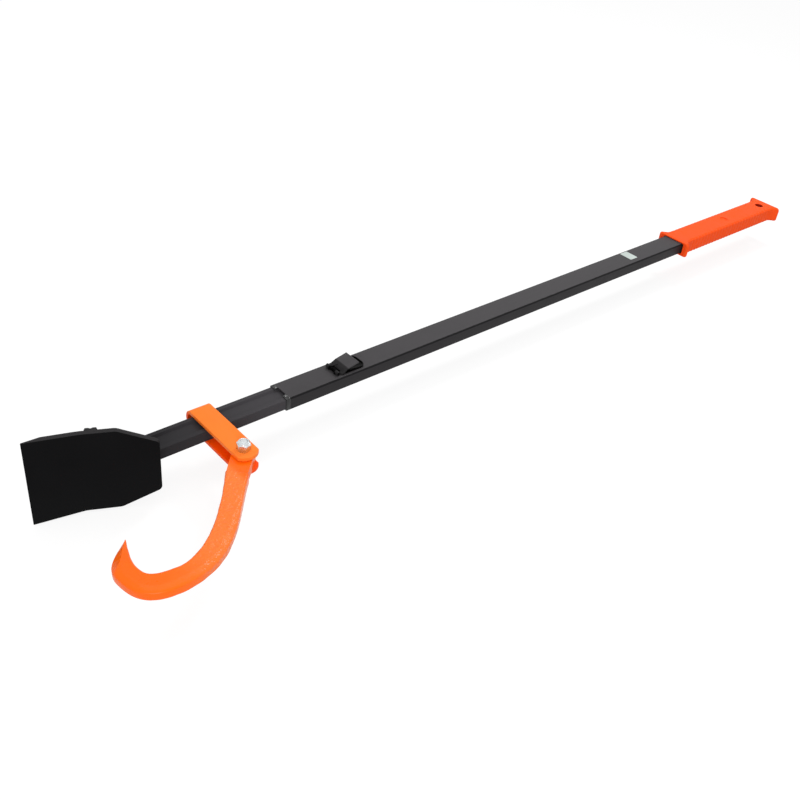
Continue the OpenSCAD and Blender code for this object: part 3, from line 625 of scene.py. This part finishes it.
# From either end: distance and how far the section is drawn in, so that the rim is round
rim = ((0.0, 3.4), (0.4, 2.0), (1.2, 0.9), (2.4, 0.2))
ring_pitch, first_ring, last_ring = 0.8, x_front + 3.4, x_back - 3.2
# The room for the tube, and from there to the rim: depth, half width and half height
room_half_w, room_half_h, room_corner = 16.05, 8.05, 2.05
mouth = (
    (9.0, room_half_w, room_half_h), (6.0, 16.15, 8.1), (3.0, 16.6, 8.2), (0.8, 17.4, 8.4), (0.0, 18.2, 8.6),
    (0.0, 19.5, 8.75), (1.3, 20.1, 8.9), (1.3, 20.9, 9.05), (0.0, 21.5, 9.2), (0.0, 23.0, 9.4),
)
corner_growth = 2.4 / 9


def grip_ring(x, half_w, half_h, radius):
    """A rounded section of the grip, with 16 steps over its wide sides and 8 over its narrow ones."""
    corners = rounded(half_w, half_h, radius)
    ring = []
    for i in range(4):
        ring += corners[7 * i:7 * i + 7]
        y, z = ring[-1]
        if i % 2 == 0:
            ring += [(y * (1 - k / 8), z) for k in range(1, 16)]
        else:
            ring += [(y, z * (1 - k / 4)) for k in range(1, 8)]
    return [(x, y, z) for y, z in ring]


def grip_section(x, flared, inset):
    half_h = grip_half_h - inset * 0.5
    return grip_ring(x, grip_half_w + flare_out * flared - inset, half_h, min(grip_corner + flared, half_h - 0.5))


def flare_at(x):
    front = max(0.0, min(1.0, (x_front + flare_length - x) / (flare_length - 2)))
    rear = max(0.0, min(1.0, (x - x_back + flare_length) / (flare_length - 2)))
    return max(front, rear) ** 2


rings = [
    grip_ring(x_front + depth, half_w, half_h, room_corner + corner_growth * (half_w - room_half_w))
    for depth, half_w, half_h in mouth]
rings += [grip_section(x_front + x, 1.0, inset) for x, inset in rim]
x = first_ring
while x < last_ring:
    rings.append(grip_section(x, flare_at(x), 0.0))
    x += ring_pitch
rings += [grip_section(x_back - x, 1.0, inset) for x, inset in reversed(rim)]
grip = from_shell(lofted(rings), "soft_grip")

ribs = bpy.data.node_groups.new("ribs across the narrow sides", "GeometryNodeTree")
ribs.interface.new_socket("Geometry", in_out="INPUT", socket_type="NodeSocketGeometry")
for name, value in (("Pitch", 8 * MM), ("Depth", 0.6 * MM), ("First", -215 * MM), ("Last", 4 * MM)):
    ribs.interface.new_socket(name, in_out="INPUT", socket_type="NodeSocketFloat").default_value = value
ribs.interface.new_socket("Material", in_out="INPUT", socket_type="NodeSocketMaterial")
ribs.interface.new_socket("Geometry", in_out="OUTPUT", socket_type="NodeSocketGeometry")
given = add(ribs, "NodeGroupInput")
normal = add(ribs, "GeometryNodeInputNormal").outputs[0]
place = add(ribs, "GeometryNodeInputPosition").outputs[0]
x = add(ribs, "ShaderNodeSeparateXYZ", {}, {0: place}).outputs["X"]
turns = add(ribs, "ShaderNodeMath", {"operation": "DIVIDE"}, {0: x, 1: given.outputs["Pitch"]})
angle = add(ribs, "ShaderNodeMath", {"operation": "MULTIPLY", 1: 2 * math.pi}, {0: turns.outputs[0]})
wave = add(ribs, "ShaderNodeMath", {"operation": "COSINE"}, {0: angle.outputs[0]})
groove = add(ribs, "ShaderNodeMapRange", {"From Min": -0.1, "From Max": 0.9}, {"Value": wave.outputs[0]})
begun = add(ribs, "ShaderNodeMath", {"operation": "GREATER_THAN"}, {0: x, 1: given.outputs["First"]})
not_ended = add(ribs, "ShaderNodeMath", {"operation": "LESS_THAN"}, {0: x, 1: given.outputs["Last"]})
inward = add(ribs, "ShaderNodeMath", {"operation": "MULTIPLY", 1: -1.0}, {0: given.outputs["Depth"]}).outputs[0]
for factor in (
    begun.outputs[0], not_ended.outputs[0], along(ribs, normal, "Y", 0.05, 0.6, both_sides=True), groove.outputs[0],
):
    inward = add(ribs, "ShaderNodeMath", {"operation": "MULTIPLY"}, {0: inward, 1: factor}).outputs[0]
move = add(ribs, "ShaderNodeVectorMath", {"operation": "SCALE"}, {0: normal, "Scale": inward})
moved = add(ribs, "GeometryNodeSetPosition", {}, {
    "Geometry": given.outputs["Geometry"],
    "Offset": move.outputs[0],
})
whole = add(ribs, "GeometryNodeRealizeInstances", {}, {0: moved.outputs[0]})
coloured = add(ribs, "GeometryNodeSetMaterial", {}, {
    "Geometry": whole.outputs[0],
    "Material": given.outputs["Material"],
})
add(ribs, "NodeGroupOutput", {}, {0: coloured.outputs[0]})


# Painted shade: the hang hole's wall is coloured deep red
def painted_shade_in_hole(t, place):
    flat = add(t, "ShaderNodeVectorMath", {"operation": "MULTIPLY", 1: (1, 1, 0)}, {0: place})
    away = add(t, "ShaderNodeVectorMath", {"operation": "LENGTH"}, {0: flat.outputs[0]})
    return ramp(t, away.outputs["Value"], 6.5 * MM, 6.1 * MM)


# Soft moulded plastic: an even, nearly matt orange-red, painted deep red inside the hang hole as shade
soft_grip = coated(
    "soft moulded grip", "#ff551a", rough=0.55, grain_mm=0.5, relief_mm=0.02, mottle=0.03, gloss=0.1,
    other="#a01e04", where=painted_shade_in_hole)
rib_maker = grip.modifiers.new("ribs", "NODES")
rib_maker.node_group = ribs
for item in ribs.interface.items_tree:
    if item.name == "Material":
        rib_maker[item.identifier] = soft_grip
baked(grip)


def turned_cut(name, middle, rows):
    """A turned body about an upright axis, from its rows of height and radius."""
    rings = [[(middle + x, y, z) for x, y in arc(radius, start=0, step=9, count=40)] for z, radius in rows]
    return from_shell(lofted(rings), name)


hole_edge = ((10.5, 6), (10.9, 6.15), (11.2, 6.5), (14, 6.6))
recess_x, recess = -102, ((9.6, 5.4), (9.9, 6.0), (11.2, 6.3), (12.5, 6.4))
room_front, room_back = -240, -14
room = rounded(room_half_w, room_half_h, 2.0, steps=4)
cuts = (
    turned_cut("hang_hole_cut", 0, [(-z, r) for z, r in reversed(hole_edge)] + list(hole_edge)),
    turned_cut("thumb_recess_cut", recess_x, recess),
    from_shell(lofted([[(x, y, z) for y, z in room] for x in (room_front, room_back)]), "tube_cut"),
)
for cut in cuts:
    boolean = grip.modifiers.new(cut.name, "BOOLEAN")
    boolean.operation = "DIFFERENCE"
    boolean.solver = "EXACT"
    boolean.object = cut
baked(grip)
for cut in cuts:
    bpy.data.objects.remove(cut)
smoothed(grip, sharp=40)
wear(grip, soft_grip)
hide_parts("grip")
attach(grip, "handle")
